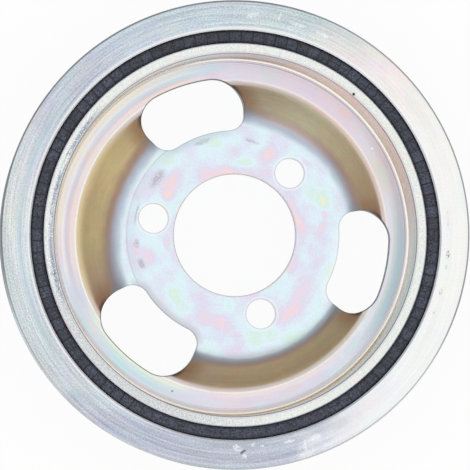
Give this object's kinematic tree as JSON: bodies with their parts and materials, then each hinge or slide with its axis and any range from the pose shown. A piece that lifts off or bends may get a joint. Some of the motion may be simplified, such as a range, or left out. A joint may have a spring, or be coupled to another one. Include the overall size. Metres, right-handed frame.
{
  "type": "harmonic balancer",
  "caption": "Crankshaft harmonic balancer: a drawn steel hub with windows, held by a rubber ring inside a turned inertia ring that carries a ribbed-belt track.",
  "frame": {"origin": "on the bore axis, in the plane of the faced seat around the bore", "axes": "+Z along the bore axis, out of the dished face that carries the seat; +X through the middle of one window; the bolt holes are at 60, 180 and 300 degrees around +Z"},
  "size_m": [0.144, 0.144, 0.027],
  "materials": {
    "hub_steel": "zinc plated with a pale iridescent chromate, smooth as drawn",
    "rubber": "matte, with fine radial pleats",
    "ring_steel": "fine turned, zinc plated"
  },
  "bodies": {
    "root": {"hub": "hub_steel", "rubber_ring": "rubber", "inertia_ring": "ring_steel"}
  },
  "joints": []
}
